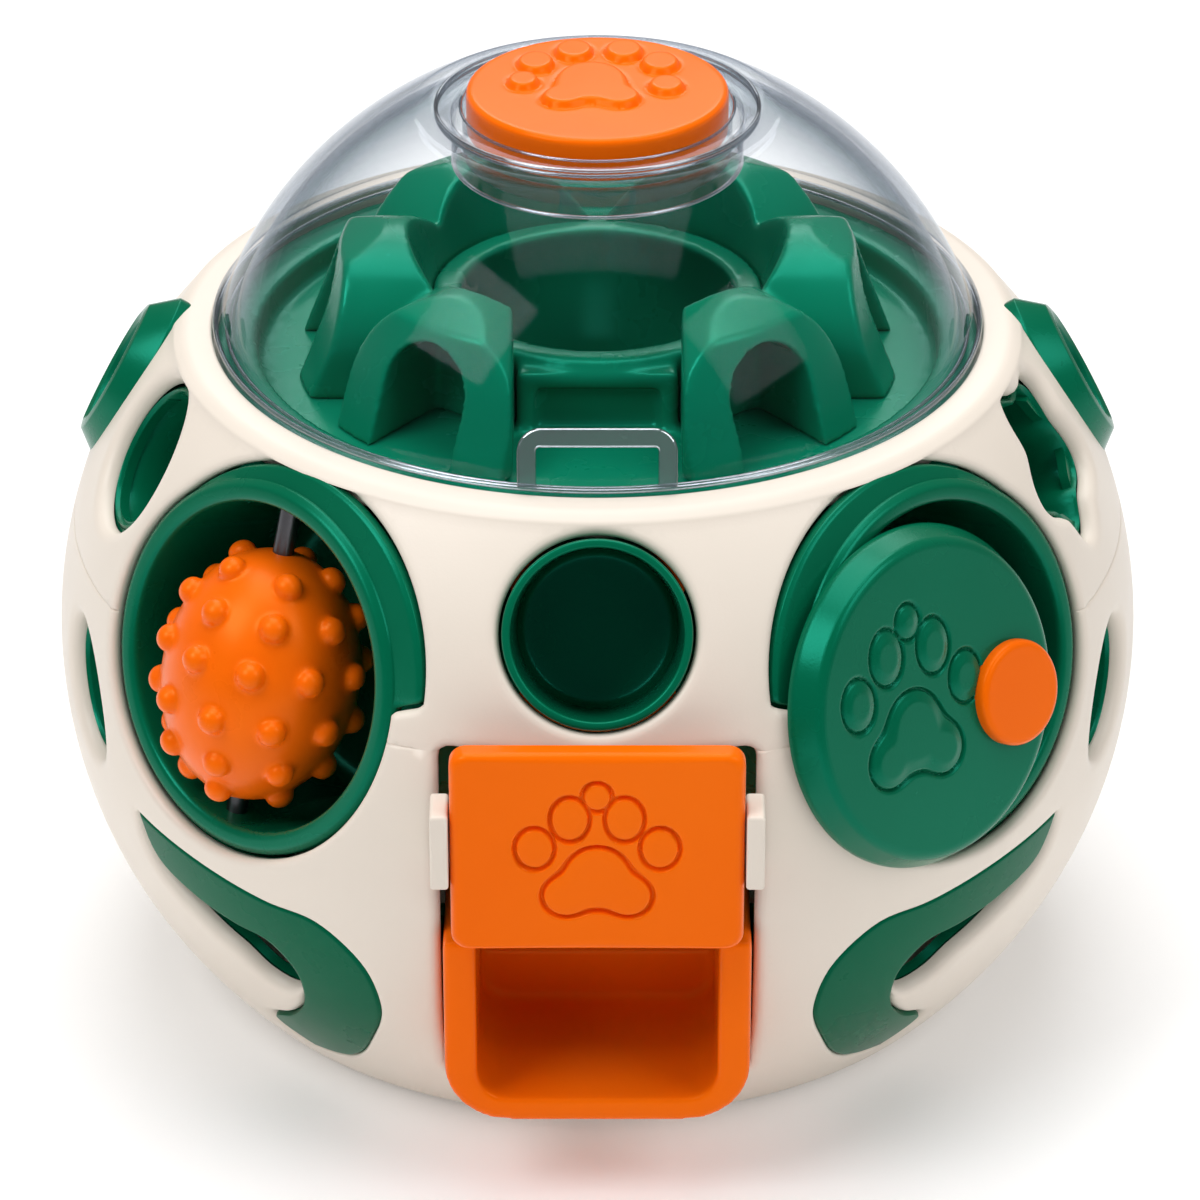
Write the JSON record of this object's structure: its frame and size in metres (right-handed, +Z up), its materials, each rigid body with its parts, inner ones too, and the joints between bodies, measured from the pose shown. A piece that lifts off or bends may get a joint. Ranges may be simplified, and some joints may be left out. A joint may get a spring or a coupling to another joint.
{
  "type": "pet treat puzzle ball",
  "caption": "Round treat puzzle for pets: cream shell on a flat base, clear dome over a green maze, push button, spiky roller, swing lid, sliding gate and treat tray.",
  "frame": {"origin": "middle of the flat base, on the plane it stands on", "axes": "+Z up; the gate and the treat tray face -Y; the roller's port is at the front left, towards -X"},
  "size_m": [0.16, 0.1645, 0.1371],
  "materials": {
    "cream_plastic": "smooth satin",
    "green_plastic": "satin with a fine grain",
    "orange_plastic": "glossy",
    "clear_plastic": "clear and polished",
    "steel": "drawn wire and turned pins"
  },
  "bodies": {
    "shell": {"lower_shell": "cream_plastic", "upper_shell": "cream_plastic", "left_clip": "cream_plastic", "right_clip": "cream_plastic", "lower_liner": "green_plastic", "upper_liner": "green_plastic", "front_left_inlay": "green_plastic", "front_right_inlay": "green_plastic", "rear_left_inlay": "green_plastic", "rear_right_inlay": "green_plastic", "front_left_pot": "green_plastic", "front_right_pot": "green_plastic", "rear_left_pot": "green_plastic", "rear_right_pot": "green_plastic", "front_cup": "green_plastic", "rear_cup": "green_plastic", "left_arches": "green_plastic", "right_arches": "green_plastic", "maze": "green_plastic", "tray_guide": "green_plastic", "left_ring": "green_plastic", "right_ring": "green_plastic", "treat_chute": "orange_plastic", "roller_axle": "steel", "lid_pin": "steel", "base_screws": "steel"},
    "roller_body": {"roller": "orange_plastic"},
    "lid_body": {"swing_lid": "green_plastic", "lid_knob": "orange_plastic"},
    "gate_body": {"front_gate": "orange_plastic"},
    "tray_body": {"treat_tray": "orange_plastic"},
    "dome_body": {"dome": "clear_plastic", "dome_latch": "clear_plastic", "button_well": "clear_plastic", "button_spring": "steel"},
    "button_body": {"top_button": "orange_plastic"}
  },
  "joints": [
    {"name": "roller_spin", "type": "hinge", "parent": "shell", "child": "roller_body", "pos_m": [-0.04728, -0.04752, 0.06771], "axis": [0.1873, 0.2022, 0.9613], "continuous": true},
    {"name": "lid_swing", "type": "hinge", "parent": "shell", "child": "lid_body", "pos_m": [0.03076, -0.06972, 0.07], "axis": [0.6531, -0.7053, 0.2756], "range_deg": [0, 50]},
    {"name": "gate_slide", "type": "slide", "parent": "shell", "child": "gate_body", "axis": [0, 0, 1], "range_m": [0, 0.01]},
    {"name": "tray_slide", "type": "slide", "parent": "shell", "child": "tray_body", "axis": [0, -1, 0], "range_m": [0, 0.022]},
    {"name": "dome_turn", "type": "hinge", "parent": "shell", "child": "dome_body", "pos_m": [0, 0, 0.1], "axis": [0, 0, 1], "range_deg": [0, 20]},
    {"name": "button_press", "type": "slide", "parent": "dome_body", "child": "button_body", "axis": [0, 0, -1], "range_m": [0, 0.003], "stiffness_N_per_m": 300, "springref_m": -0.004, "deforming": ["button_spring"]}
  ]
}
